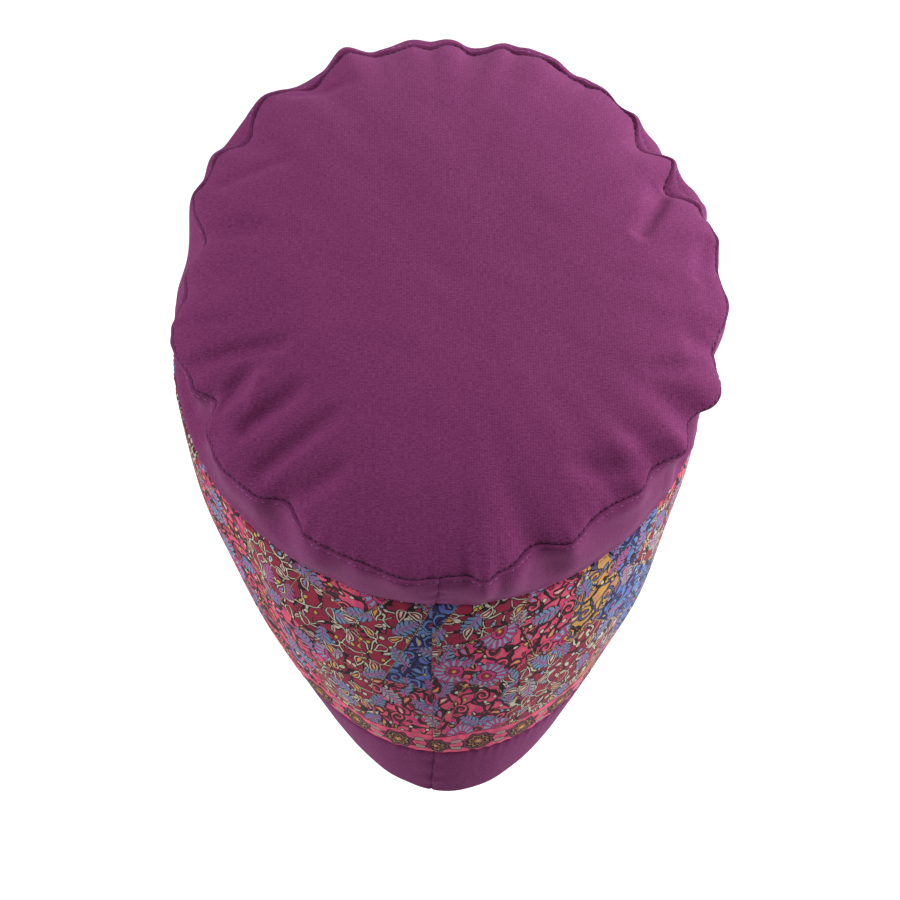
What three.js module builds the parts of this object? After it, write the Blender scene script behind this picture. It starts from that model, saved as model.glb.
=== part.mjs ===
import * as THREE from "three";

// A knitted head wrap: a round crown over a side panel, a printed band and a folded rim band.
// Millimetres, +Z up, the back of the head towards +Y and the wearer's left towards +X.
// The origin is the middle of the head opening, level with the rim at the ears.

// Cloth: its thickness, the half gap at a seam, and how far the seams draw it in
const singleCloth = 1.6;
const foldedCloth = 2.6;
const seamClearance = 0.22;
const seamDitchDepth = 1.1;
const seamDitchWidth = 4;
const mitreReach = 9;
const sharpestMitre = 0.7;

// Seam up the centre back of the three bands
const backSeamTurn = -2;
const backSeamDepth = 0.8;
const backSeamWidth = 2.2;

// Each loop runs round the head about its middle (x, y), and its taper makes it narrower towards
// the nape. Its heights are the Z at the centre back, the sides and the centre front. Its roll
// lifts it towards +X, in millimetres for each millimetre of X. Its lean turns the cloth at the
// back, in degrees towards the wearer's right, so that the back seam slants.
const loops = {
  rimEdge: {
    halfWidth: 73, halfLength: 100, x: 0, y: -1, taper: 0.15,
    back: -39, side: 0, front: 26, roll: 0, lean: -4.4,
  },
  rimSeam: {
    halfWidth: 82, halfLength: 101, x: 0, y: 2, taper: 0.08,
    back: -10, side: 18, front: 54, roll: 0, lean: -2.2,
  },
  printTop: {
    halfWidth: 105.5, halfLength: 108, x: 2.5, y: 0, taper: 0.02,
    back: 83, side: 109.3, front: 132, roll: 0.057, lean: 0,
  },
  crownSeam: {
    halfWidth: 107, halfLength: 119, x: 0, y: 7, taper: 0.05,
    back: 117, side: 148, front: 182, roll: 0, lean: 0,
  },
};

// The crown dome rises over the plane of its seam, which tips back
const crownTilt = THREE.MathUtils.degToRad(15.3);
const domeRise = 22;
const domeRoundShare = 0.55;
const domeEdgePower = 6;
const rufflePower = 6;
const puffSize = 0.3;
const puffOfPush = 0.3;
const puffStart = 0.84;

// The print band bulges a little between its seams. The side panel leaves the crown seam
// outwards, over a shoulder that is widest at the front, and follows a puff more than a pinch.
const printBulge = 4;
const shoulderReach = { back: 5, side: 0, front: 19 };
const shoulderDrop = { back: 8, side: 10, front: 2 };
const shoulderPuffFollow = 0.9;
const shoulderPinchFollow = 0.1;

// Ruffles of the crown seam: a pinch pushes it in (minus), a puff out (plus).
// Turn is in degrees from the centre back towards the wearer's right, spread the half width in degrees.
const ruffles = [
  { turn: 7, spread: 4, push: 3.5 },
  { turn: 19, spread: 8, push: -6.5 },
  { turn: 35, spread: 11, push: -5 },
  { turn: 49, spread: 5, push: -3 },
  { turn: 57, spread: 5, push: 4 },
  { turn: 70, spread: 8, push: 6.5 },
  { turn: 88, spread: 8, push: 4 },
  { turn: 103, spread: 8, push: 2.5 },
  { turn: 116.5, spread: 6.5, push: -10.5 },
  { turn: 129, spread: 7, push: -8.5 },
  { turn: 143.5, spread: 4.5, push: 2 },
  { turn: 160, spread: 10, push: 3.5 },
  { turn: 167, spread: 4, push: 3 },
  { turn: 172.5, spread: 4, push: -2 },
  { turn: 178, spread: 4.5, push: 2.5 },
  { turn: 186, spread: 5, push: 2.5 },
  { turn: 199, spread: 6, push: 5.5 },
  { turn: 209, spread: 6, push: -4.5 },
  { turn: 218.5, spread: 6, push: 3.5 },
  { turn: 228.5, spread: 6.5, push: -7 },
  { turn: 241, spread: 7, push: -1.8 },
  { turn: 255.5, spread: 10.5, push: -11.5 },
  { turn: 267, spread: 9.5, push: -7 },
  { turn: 287, spread: 6, push: -3.5 },
  { turn: 294, spread: 5.5, push: -9.5 },
  { turn: 307, spread: 9, push: 2 },
  { turn: 322, spread: 7, push: -7.5 },
  { turn: 351, spread: 10, push: 2.5 },
];

// Folds of the crown: from a point near the seam to one further in, X across and Y along the
// tipped crown from its middle. Depth is down into the crown; a ridge has a minus depth.
const crownFolds = [
  { fromX: 86, fromY: 50, toX: 76, toY: 43, depth: 5, spread: 9 },
  { fromX: 70, fromY: 44, toX: 73, toY: 56, depth: -1.5, spread: 6 },
  { fromX: 74, fromY: 62, toX: 56, toY: 50, depth: 3.5, spread: 8 },
  { fromX: 69, fromY: 80, toX: 43, toY: 63, depth: 3, spread: 8 },
  { fromX: 64, fromY: 95, toX: 40, toY: 84, depth: 3, spread: 8 },
  { fromX: 97, fromY: 31, toX: 62, toY: 30, depth: 2.8, spread: 6.5 },
  { fromX: 102, fromY: 12, toX: 83, toY: 17, depth: 1.4, spread: 5 },
  { fromX: 97, fromY: -33, toX: 74, toY: -25, depth: 2.5, spread: 7 },
  { fromX: 88, fromY: -51, toX: 62, toY: -58, depth: 1, spread: 6 },
  { fromX: 58, fromY: -97, toX: 36, toY: -100, depth: 1.5, spread: 6 },
  { fromX: -90, fromY: -49, toX: -77, toY: -22, depth: 3.5, spread: 7 },
  { fromX: -105, fromY: -24, toX: -98, toY: -6, depth: 2, spread: 7 },
  { fromX: -98, fromY: 35, toX: -78, toY: 40, depth: 1.5, spread: 7 },
  { fromX: -72, fromY: 80, toX: -50, toY: 84, depth: 2.5, spread: 8 },
  { fromX: -86, fromY: 66, toX: -64, toY: 74, depth: -1.2, spread: 6 },
];

// Folds of the side panel that fall from the pinches, between two shares of its height
const sideFolds = [
  { turn: 23, spread: 5, low: 0.1, high: 0.95, depth: 3 },
  { turn: 14, spread: 5, low: 0.15, high: 0.9, depth: -2 },
  { turn: 66, spread: 14, low: 0.1, high: 0.98, depth: 7 },
  { turn: 109, spread: 6, low: 0.4, high: 1, depth: -2.5 },
  { turn: 114, spread: 5, low: 0.4, high: 1, depth: -4.8 },
  { turn: 117, spread: 5, low: 0.62, high: 1, depth: -7 },
  { turn: 107, spread: 5, low: 0.5, high: 1, depth: 2 },
  { turn: 129.5, spread: 5, low: 0.45, high: 1, depth: -5 },
  { turn: 140, spread: 8, low: 0.4, high: 1, depth: 3 },
  { turn: 228, spread: 8, low: 0.4, high: 1, depth: -4 },
  { turn: 256, spread: 12, low: 0.2, high: 1, depth: 4.5 },
  { turn: 280, spread: 22, low: 0, high: 0.85, depth: 6.5 },
  { turn: 294, spread: 6, low: 0.2, high: 0.95, depth: 2 },
  { turn: 322, spread: 6, low: 0.3, high: 0.95, depth: 2 },
  { turn: 332, spread: 6, low: 0.1, high: 0.9, depth: -1.5 },
];

// Mesh steps: one column every few degrees, with closer ones beside the back seam
const columnStep = 3;
const backSeamColumns = [-1.3, -0.45, 0, 0.45, 1.3];
const slopeTurn = 0.25;
const slopeShare = 0.0025;

// Row places, as the distance in from a seam or as shares of a piece's height or radius
const ditchRows = [0, 1.6, seamDitchWidth];
const crownOuterShares = [0.9, 0.82, 0.72, 0.6, 0.46, 0.3, 0.15];
const crownInnerShares = [0.9, 0.7, 0.35];
const sideOuterShares = [0.3, 0.5, 0.7];
const sideInnerShares = [0.3, 0.7];
const printOuterShares = [0.33, 0.67];
const printInnerShares = [0.5];
const rimShare = 0.5;
const foldAngles = [0, 60, 120, 180];

// Colours
const plum = 0x7a3566;
const printMean = 0x7d5c6a;
const knitRoughness = 0.85;

const radians = THREE.MathUtils.degToRad;
const vector = (x, y, z) => new THREE.Vector3(x, y, z);

const columns = backSeamColumns.map((turn) => backSeamTurn + turn);
for (let turn = columnStep; turn < 360; turn += columnStep) {
  columns.push(backSeamTurn + turn);
}

// Height of a bump at a share of its half width, 1 in the middle and 0 past the edge
function bump(share) {
  return Math.abs(share) < 1 ? Math.cos((Math.PI * share) / 2) ** 2 : 0;
}

function turnBetween(turn, centre) {
  return THREE.MathUtils.euclideanModulo(turn - centre + 180, 360) - 180;
}

// A value that runs smoothly round the head through its back, side and front values
function aroundHead({ back, side, front }, turn) {
  const cosine = Math.cos(radians(turn));
  return side + ((back - front) / 2) * cosine + ((back + front) / 2 - side) * cosine ** 2;
}

function loopPoint(loop, turn) {
  const cosine = Math.cos(radians(turn));
  const halfWidth = loop.halfWidth * (1 - loop.taper * cosine);
  const x = loop.x - halfWidth * Math.sin(radians(turn));
  return vector(x, loop.y + loop.halfLength * cosine, aroundHead(loop, turn) + loop.roll * x);
}

function outwards(turn) {
  return vector(-Math.sin(radians(turn)), Math.cos(radians(turn)), 0);
}

const crownCentre = vector(loops.crownSeam.x, loops.crownSeam.y, loops.crownSeam.side);
const crownUp = vector(0, Math.sin(crownTilt), Math.cos(crownTilt));
const crownBack = vector(0, Math.cos(crownTilt), -Math.sin(crownTilt));

function seamRadius(turn) {
  return loopPoint(loops.crownSeam, turn).sub(crownCentre);
}

function rufflePush(turn) {
  let total = 0;
  for (const { turn: middle, spread, push } of ruffles) {
    total += push * bump(turnBetween(turn, middle) / spread);
  }
  return total;
}

function crownFoldDepth(x, y) {
  let depth = 0;
  for (const fold of crownFolds) {
    const runX = fold.toX - fold.fromX;
    const runY = fold.toY - fold.fromY;
    const along = ((x - fold.fromX) * runX + (y - fold.fromY) * runY) / (runX ** 2 + runY ** 2);
    const share = THREE.MathUtils.clamp(along, 0, 1);
    const gap = Math.hypot(x - fold.fromX - share * runX, y - fold.fromY - share * runY);
    depth += fold.depth * (1 - share ** 2 / 2) * bump(gap / fold.spread);
  }
  return depth;
}

// Outer face of the crown at a share of the way from its middle to its seam
function crownPoint(turn, share) {
  const point = seamRadius(turn).multiplyScalar(share);
  const radial = seamRadius(turn).normalize();
  const push = rufflePush(turn);
  const puffShare = THREE.MathUtils.clamp((share - puffStart) / (1 - puffStart), 0, 1);
  const puff = (puffSize + puffOfPush * Math.max(0, push)) * Math.sin(Math.PI * puffShare);
  const round = 1 - share ** 2;
  const edge = 1 - share ** domeEdgePower;
  const rise = domeRise * (domeRoundShare * round + (1 - domeRoundShare) * edge);
  const fold = crownFoldDepth(point.x, point.dot(crownBack)) * edge;
  point.addScaledVector(radial, push * share ** rufflePower + puff);
  return point.addScaledVector(crownUp, rise - fold).add(crownCentre);
}

function sideFoldDepth(turn, share) {
  let depth = 0;
  for (const fold of sideFolds) {
    const run = (share - fold.low) / (fold.high - fold.low);
    if (run > 0 && run < 1) {
      depth += fold.depth * Math.sin(Math.PI * run) * bump(turnBetween(turn, fold.turn) / fold.spread);
    }
  }
  return depth;
}

// Outer face of the side panel at a share of its height: a curve drawn out by its shoulder
function sidePoint(turn, share) {
  const seam = loopPoint(loops.crownSeam, turn);
  const radial = seamRadius(turn).normalize();
  const push = rufflePush(turn);
  const follow = push > 0 ? shoulderPuffFollow : shoulderPinchFollow;
  const corner = seam.clone().addScaledVector(radial, aroundHead(shoulderReach, turn) + follow * push);
  corner.addScaledVector(crownUp, -aroundHead(shoulderDrop, turn));
  seam.addScaledVector(radial, push);
  const lowerLeg = loopPoint(loops.printTop, turn).lerp(corner, share);
  const upperLeg = corner.lerp(seam, share);
  return lowerLeg.lerp(upperLeg, share).addScaledVector(outwards(turn), -sideFoldDepth(turn, share));
}

function bandPoint(lower, upper, turn, share) {
  return loopPoint(lower, turn).lerp(loopPoint(upper, turn), share);
}

function printPoint(turn, share) {
  const point = bandPoint(loops.rimSeam, loops.printTop, turn, share);
  return point.addScaledVector(outwards(turn), printBulge * Math.sin(Math.PI * share));
}

// Each face runs from its lower seam (0) to its upper (1), or to the middle of the crown
const faces = {
  crown: (turn, share) => crownPoint(turn, 1 - share),
  side: sidePoint,
  print: printPoint,
  rim: (turn, share) => bandPoint(loops.rimEdge, loops.rimSeam, turn, share),
};

function faceNormal(face, turn, share) {
  const low = THREE.MathUtils.clamp(share - slopeShare, 0, 1 - 2 * slopeShare);
  const around = face(turn + slopeTurn, share).sub(face(turn - slopeTurn, share));
  const up = face(turn, low + 2 * slopeShare).sub(face(turn, low));
  return around.cross(up).normalize();
}

function seamNormal(lowerFace, upperFace, turn) {
  return faceNormal(lowerFace, turn, 1).add(faceNormal(upperFace, turn, 0)).normalize();
}

function faceHeight(face, turn) {
  return face(turn, 0).distanceTo(face(turn, 1));
}

function backSeamDitch(column, point) {
  const gap = radians(turnBetween(column, backSeamTurn)) * Math.hypot(point.x, point.y);
  return backSeamDepth * bump(gap / backSeamWidth);
}

// Turn of a point of a column, which leans most at the back seam and not at all at the front
function leanedTurn({ lower, upper }, column, share) {
  const lean = THREE.MathUtils.lerp(lower.lean, upper.lean, share);
  return column + lean * (1 - Math.abs(turnBetween(column, backSeamTurn)) / 180);
}

// A piece is cloth of one thickness behind its outer face. Near a seam the cloth turns to the
// direction it shares with its neighbour and dips into the ditch that the stitches pull.
function clothPoint(piece, column, share, inset) {
  const { face, cloth, seamBelow, seamAbove } = piece;
  const turn = leanedTurn(piece, column, share);
  const height = faceHeight(face, turn);
  const point = face(turn, share);
  const normal = faceNormal(face, turn, share);
  const inward = normal.clone();
  let ditch = piece.backSeam ? backSeamDitch(column, point) : 0;
  for (const [seam, distance] of [[seamBelow, share * height], [seamAbove, (1 - share) * height]]) {
    if (seam) {
      inward.lerp(seam(turn), Math.max(0, 1 - distance / mitreReach));
      ditch = Math.max(ditch, seamDitchDepth * Math.max(0, 1 - distance / seamDitchWidth) ** 2);
    }
  }
  inward.normalize();
  const stretch = Math.max(sharpestMitre, inward.dot(normal));
  return point.addScaledVector(inward, -(ditch + (inset * cloth) / stretch));
}

// Loops of a piece from its rows: each row gives its share of the piece's height, and how deep it
// lies in the cloth, from 0 on the outer face to 1 on the inner
function clothLoops(piece, rows) {
  return rows.map(([place, inset]) =>
    columns.map((column) => {
      const share = place(faceHeight(piece.face, column));
      return clothPoint(piece, column, share, inset);
    }));
}

const fromBelow = (distance) => (height) => (distance + seamClearance) / height;
const fromAbove = (distance) => (height) => 1 - (distance + seamClearance) / height;
const atShare = (share) => () => share;

const crownSeamNormal = (turn) => seamNormal(faces.side, faces.crown, turn);
const printSeamNormal = (turn) => seamNormal(faces.print, faces.side, turn);
const rimSeamNormal = (turn) => seamNormal(faces.rim, faces.print, turn);

// Skins a run of loops. A ring joins its last loop to its first; a dome closes both ends on points.
function skin(rows, poles) {
  const count = columns.length;
  const points = [...rows.flat(), ...poles];
  const index = [];
  const runs = poles.length ? rows.length - 1 : rows.length;
  for (let row = 0; row < runs; row++) {
    const low = row * count;
    const high = ((row + 1) % rows.length) * count;
    for (let i = 0; i < count; i++) {
      const next = (i + 1) % count;
      index.push(low + i, low + next, high + next, low + i, high + next, high + i);
    }
  }
  if (poles.length) {
    const firstPole = rows.length * count;
    const top = (rows.length - 1) * count;
    for (let i = 0; i < count; i++) {
      const next = (i + 1) % count;
      index.push(firstPole, next, i, top + i, top + next, firstPole + 1);
    }
  }
  const places = points.flatMap((point) => point.toArray());
  const geometry = new THREE.BufferGeometry();
  geometry.setAttribute("position", new THREE.Float32BufferAttribute(places, 3));
  geometry.setIndex(index);
  geometry.computeVertexNormals();
  return geometry;
}

function clothMesh(name, geometry, color) {
  const material = new THREE.MeshStandardMaterial({ color, roughness: knitRoughness, metalness: 0 });
  const mesh = new THREE.Mesh(geometry, material);
  mesh.name = name;
  return mesh;
}

function crownPanel() {
  const piece = {
    face: faces.crown,
    cloth: singleCloth,
    lower: loops.crownSeam,
    upper: loops.crownSeam,
    seamBelow: crownSeamNormal,
  };
  const radiusRows = (shares) => shares.map((share) => atShare(1 - share));
  const inner = radiusRows(crownInnerShares).reverse().map((place) => [place, 1]);
  const outer = radiusRows(crownOuterShares).map((place) => [place, 0]);
  const edge = ditchRows.map((distance) => [fromBelow(distance), 0]);
  const rows = clothLoops(piece, [...inner, [fromBelow(0), 1], ...edge, ...outer]);
  const middle = crownPoint(0, 0);
  const poles = [middle.clone().addScaledVector(crownUp, -singleCloth), middle];
  return clothMesh("crown_panel", skin(rows, poles), plum);
}

// A band of single cloth between two seams
function bandRows(outerShares, innerShares) {
  const lower = ditchRows.map((distance) => [fromBelow(distance), 0]);
  const upper = ditchRows.map((distance) => [fromAbove(distance), 0]).reverse();
  const outer = outerShares.map((share) => [atShare(share), 0]);
  const inner = innerShares.map((share) => [atShare(share), 1]).reverse();
  return [...lower, ...outer, ...upper, [fromAbove(0), 1], ...inner, [fromBelow(0), 1]];
}

function sidePanel() {
  const piece = {
    face: faces.side,
    cloth: singleCloth,
    lower: loops.printTop,
    upper: loops.crownSeam,
    seamBelow: printSeamNormal,
    seamAbove: crownSeamNormal,
    backSeam: true,
  };
  const rows = clothLoops(piece, bandRows(sideOuterShares, sideInnerShares));
  return clothMesh("side_panel", skin(rows, []), plum);
}

function printBand() {
  const piece = {
    face: faces.print,
    cloth: singleCloth,
    lower: loops.rimSeam,
    upper: loops.printTop,
    seamBelow: rimSeamNormal,
    seamAbove: printSeamNormal,
    backSeam: true,
  };
  const rows = clothLoops(piece, bandRows(printOuterShares, printInnerShares));
  return clothMesh("print_band", skin(rows, []), printMean);
}

// The rim band is doubled, with its fold along the lower edge
function rimBand() {
  const piece = {
    face: faces.rim,
    cloth: foldedCloth,
    lower: loops.rimEdge,
    upper: loops.rimSeam,
    seamAbove: rimSeamNormal,
    backSeam: true,
  };
  const fold = foldAngles.map((angle) => {
    const drop = (1 - Math.sin(radians(angle))) / 2;
    const inset = (1 - Math.cos(radians(angle))) / 2;
    return [(height) => (drop * foldedCloth) / height, inset];
  });
  const upper = ditchRows.map((distance) => [fromAbove(distance), 0]).reverse();
  const inner = [[fromAbove(0), 1], [atShare(rimShare), 1]];
  const rows = [...fold.reverse(), [atShare(rimShare), 0], ...upper, ...inner];
  return clothMesh("rim_band", skin(clothLoops(piece, rows), []), plum);
}

const headWrap = new THREE.Group();
headWrap.add(crownPanel(), sidePanel(), printBand(), rimBand());

export default headWrap;
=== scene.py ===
import math
from functools import partial
import bpy
import numpy as np
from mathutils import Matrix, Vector


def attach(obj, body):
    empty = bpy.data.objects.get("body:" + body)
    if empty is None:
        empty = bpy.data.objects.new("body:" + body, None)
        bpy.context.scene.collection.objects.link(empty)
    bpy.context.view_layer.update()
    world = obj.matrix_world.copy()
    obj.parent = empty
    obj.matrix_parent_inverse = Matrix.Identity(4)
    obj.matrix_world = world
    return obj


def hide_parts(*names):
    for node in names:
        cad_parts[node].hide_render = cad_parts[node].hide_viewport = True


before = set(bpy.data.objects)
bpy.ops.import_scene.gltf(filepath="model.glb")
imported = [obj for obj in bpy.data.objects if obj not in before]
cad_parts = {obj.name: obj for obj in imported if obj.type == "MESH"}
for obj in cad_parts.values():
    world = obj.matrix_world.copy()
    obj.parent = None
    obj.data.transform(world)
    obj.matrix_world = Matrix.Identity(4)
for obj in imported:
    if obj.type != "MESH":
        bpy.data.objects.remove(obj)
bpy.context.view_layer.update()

# The cap in millimetres: +Z up, the back of the head towards +Y. A turn goes from the centre back
# (0 degrees) towards the wearer's right. Loops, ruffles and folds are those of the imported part.
scene = bpy.context.scene
mm = 0.001
cloth = {
    "singleLayer": 1.6,      # one layer of jersey
    "doubledLayer": 2.6,     # the rim band, folded double
    "foldedLayer": 1.15,     # each of the rim band's two layers, with a slit between them
    "seamGap": 0.12,         # half the gap between two pieces at their seam
    "mitreReach": 9,         # where the cloth starts to turn towards its seam
    "thinnestMitre": 0.7,    # keeps the turned cloth from growing too thick
    "printBulge": 4,         # the print band is fuller than the straight way between its loops
    "backSeamTurn": -2,      # the seam up the centre back of the three bands
    "columns": 720,          # mesh steps round the head, and closer ones in degrees beside the back seam
    "fineSteps": [0.08, 0.2, 0.34, 359.66, 359.8, 359.92],
}
backTurn = cloth["backSeamTurn"]

loops = {
    "rimEdge": {"halfWidth": 73, "halfLength": 100, "x": 0, "y": -1, "taper": 0.15,
                "back": -39, "side": 0, "front": 26, "roll": 0, "lean": -4.4},
    "rimSeam": {"halfWidth": 82, "halfLength": 101, "x": 0, "y": 2, "taper": 0.08,
                "back": -10, "side": 18, "front": 54, "roll": 0, "lean": -2.2},
    "printTop": {"halfWidth": 105.5, "halfLength": 108, "x": 2.5, "y": 0, "taper": 0.02,
                 "back": 83, "side": 109.3, "front": 132, "roll": 0.057, "lean": 0},
    "crownSeam": {"halfWidth": 107, "halfLength": 119, "x": 0, "y": 7, "taper": 0.05,
                  "back": 117, "side": 148, "front": 182, "roll": 0, "lean": 0},
}

crown = {
    "tilt": math.radians(15.3),
    "rise": 22, "roundShare": 0.55, "edgePower": 6, "rufflePower": 6,
    "puffSize": 0.3, "puffOfPush": 0.3, "puffStart": 0.84,
    "meshReach": 0.985, "meshPower": 1.4, "poleShare": 0.9999,       # its rows lie closer near the seam
}

shoulder = {
    "reach": {"back": 5, "side": 0, "front": 19},
    "drop": {"back": 8, "side": 10, "front": 2},
    "puffFollow": 0.9, "pinchFollow": 0.1,
}

# Ruffles of the crown seam: turn, half width in degrees, push out in mm (minus is a pinch)
ruffles = [
    (7, 4, 3.5), (19, 8, -6.5), (35, 11, -5), (49, 5, -3), (57, 5, 4), (70, 8, 6.5), (88, 8, 4),
    (103, 8, 2.5), (116.5, 6.5, -10.5), (129, 7, -8.5), (143.5, 4.5, 2), (160, 10, 3.5), (167, 4, 3),
    (172.5, 4, -2), (178, 4.5, 2.5), (186, 5, 2.5), (199, 6, 5.5), (209, 6, -4.5), (218.5, 6, 3.5),
    (228.5, 6.5, -7), (241, 7, -1.8), (255.5, 10.5, -11.5), (267, 9.5, -7), (287, 6, -3.5),
    (294, 5.5, -9.5), (307, 9, 2), (322, 7, -7.5), (351, 10, 2.5),
]

# Folds of the crown: from and to (x, y) on the tipped crown, depth, half width. A ridge has a minus depth.
# Each runs out to half its depth.
crownFolds = [
    (86, 50, 76, 43, 5, 9), (70, 44, 73, 56, -1.5, 6), (74, 62, 56, 50, 3.5, 8), (69, 80, 43, 63, 3, 8),
    (64, 95, 40, 84, 3, 8), (97, 31, 62, 30, 2.8, 6.5), (102, 12, 83, 17, 1.4, 5),
    (97, -33, 74, -25, 2.5, 7), (88, -51, 62, -58, 1, 6), (58, -97, 36, -100, 1.5, 6),
    (-90, -49, -77, -22, 3.5, 7), (-105, -24, -98, -6, 2, 7), (-98, 35, -78, 40, 1.5, 7),
    (-72, 80, -50, 84, 2.5, 8), (-86, 66, -64, 74, -1.2, 6),
]

# Folds of the side panel: turn, half width in degrees, from and to as shares of its height, depth
sideFolds = [
    (23, 5, 0.1, 0.95, 3), (14, 5, 0.15, 0.9, -2), (66, 14, 0.1, 0.98, 7), (109, 6, 0.4, 1, -2.5),
    (114, 5, 0.4, 1, -4.8), (117, 5, 0.62, 1, -7), (107, 5, 0.5, 1, 2), (129.5, 5, 0.45, 1, -5),
    (140, 8, 0.4, 1, 3), (228, 8, 0.4, 1, -4), (256, 12, 0.2, 1, 4.5), (280, 22, 0, 0.85, 6.5),
    (294, 6, 0.2, 0.95, 2), (322, 6, 0.3, 0.95, 2), (332, 6, 0.1, 0.9, -1.5),
]


# Height of a bump, 1 in the middle and 0 past its edge
def bump(share):
    return np.where(np.abs(share) < 1, np.cos(np.pi * share / 2) ** 2, 0)


def turnBetween(turn, middle):
    return (turn - middle + 180) % 360 - 180


def unit(vectors):
    return vectors / np.maximum(np.linalg.norm(vectors, axis=-1, keepdims=True), 1e-9)


def mix(a, b, share):
    return a + (b - a) * share


def joined(x, y, z):
    return np.stack(np.broadcast_arrays(x, y, z), axis=-1).astype(float)


# A value that runs smoothly round the head through its back, side and front values
def aroundHead(values, turn):
    cosine = np.cos(np.radians(turn))
    back, side, front = values["back"], values["side"], values["front"]
    return side + (back - front) / 2 * cosine + ((back + front) / 2 - side) * cosine ** 2


def loopPoint(loop, turn):
    cosine = np.cos(np.radians(turn))
    halfWidth = loop["halfWidth"] * (1 - loop["taper"] * cosine)
    x = loop["x"] - halfWidth * np.sin(np.radians(turn))
    return joined(x, loop["y"] + loop["halfLength"] * cosine, aroundHead(loop, turn) + loop["roll"] * x)


def outwards(turn):
    return joined(-np.sin(np.radians(turn)), np.cos(np.radians(turn)), 0 * turn)


crownCentre = np.array([loops["crownSeam"][key] for key in ("x", "y", "side")], float)
crownUp = np.array([0, math.sin(crown["tilt"]), math.cos(crown["tilt"])])
crownBack = np.array([0, math.cos(crown["tilt"]), -math.sin(crown["tilt"])])


def rufflePush(turn):
    return sum(push * bump(turnBetween(turn, middle) / spread) for middle, spread, push in ruffles)


def crownFoldDepth(x, y, folds=crownFolds, width=1.0):
    depth = 0 * x
    for fromX, fromY, toX, toY, deep, spread in folds:
        runX, runY = toX - fromX, toY - fromY
        along = np.clip(((x - fromX) * runX + (y - fromY) * runY) / (runX ** 2 + runY ** 2), 0, 1)
        gap = np.hypot(x - fromX - along * runX, y - fromY - along * runY)
        depth += deep * (1 - along ** 2 / 2) * bump(gap / (spread * width))
    return depth


# Outer faces of the four pieces, from the lower seam (0) to the upper seam or the crown's middle (1)
def crownFace(turn, share):
    inShare = 1 - share
    seam = loopPoint(loops["crownSeam"], turn) - crownCentre
    push = rufflePush(turn)
    puffShare = np.clip((inShare - crown["puffStart"]) / (1 - crown["puffStart"]), 0, 1)
    puff = (crown["puffSize"] + crown["puffOfPush"] * np.maximum(0, push)) * np.sin(np.pi * puffShare)
    edge = 1 - inShare ** crown["edgePower"]
    rise = crown["rise"] * (crown["roundShare"] * (1 - inShare ** 2) + (1 - crown["roundShare"]) * edge)
    point = seam * inShare[..., None]
    fold = crownFoldDepth(point[..., 0], point @ crownBack) * edge
    point = point + unit(seam) * (push * inShare ** crown["rufflePower"] + puff)[..., None]
    return point + crownUp * (rise - fold)[..., None] + crownCentre


def sideFoldDepth(turn, share):
    depth = 0 * turn
    for middle, spread, low, high, deep in sideFolds:
        run = np.clip((share - low) / (high - low), 0, 1)
        depth += deep * np.sin(np.pi * run) * bump(turnBetween(turn, middle) / spread)
    return depth


def sideFace(turn, share):
    seam = loopPoint(loops["crownSeam"], turn)
    radial = unit(seam - crownCentre)
    push = rufflePush(turn)
    follow = np.where(push > 0, shoulder["puffFollow"], shoulder["pinchFollow"])
    corner = seam + radial * (aroundHead(shoulder["reach"], turn) + follow * push)[..., None]
    corner = corner - crownUp * aroundHead(shoulder["drop"], turn)[..., None]
    top = seam + radial * push[..., None]
    climb = share[..., None]
    lower = mix(loopPoint(loops["printTop"], turn), corner, climb)
    folds = outwards(turn) * sideFoldDepth(turn, share)[..., None]
    return mix(lower, mix(corner, top, climb), climb) - folds


def bandFace(lower, upper, turn, share, bulge=0):
    band = mix(loopPoint(loops[lower], turn), loopPoint(loops[upper], turn), share[..., None])
    return band + outwards(turn) * (bulge * np.sin(np.pi * share))[..., None]


def printFace(turn, share):
    return bandFace("rimSeam", "printTop", turn, share, cloth["printBulge"])


def rimFace(turn, share):
    return bandFace("rimEdge", "rimSeam", turn, share)


# The way out of a face, from its slope over a small turn in degrees and a small share of its height
def faceNormal(face, turn, share, turnStep=0.5, shareStep=0.005):
    low = np.clip(share - shareStep / 2, 0, 1 - shareStep)
    around = face(turn + turnStep / 2, share) - face(turn - turnStep / 2, share)
    return unit(np.cross(around, face(turn, low + shareStep) - face(turn, low)))


def faceHeight(face, turn):
    return np.linalg.norm(face(turn, 0 * turn) - face(turn, 0 * turn + 1), axis=-1)


def seamNormal(lowerFace, upperFace, turn):
    return unit(faceNormal(lowerFace, turn, 0 * turn + 1) + faceNormal(upperFace, turn, 0 * turn))


# Waves round the head with whole numbers of turns, so that they close on themselves
def roundWaves(seed, turn, fewest, most, count=14):
    draw = np.random.default_rng(seed)
    waves = zip(draw.integers(fewest, most, count), draw.uniform(0, 2 * np.pi, count))
    return sum(np.cos(number * np.radians(turn) + start) for number, start in waves) / math.sqrt(count / 2)


# Soft unevenness over a face, of waves between so many times the given size in mm
def softWaves(seed, x, y, size, count=18, shortest=1.3, longest=2.6):
    draw = np.random.default_rng(seed)
    total = 0 * x
    for _ in range(count):
        heading, start = draw.uniform(0, 2 * np.pi), draw.uniform(0, 2 * np.pi)
        length = size * draw.uniform(shortest, longest)
        total = total + np.cos(2 * np.pi * (x * math.cos(heading) + y * math.sin(heading)) / length + start)
    return total / math.sqrt(count / 2)


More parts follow.
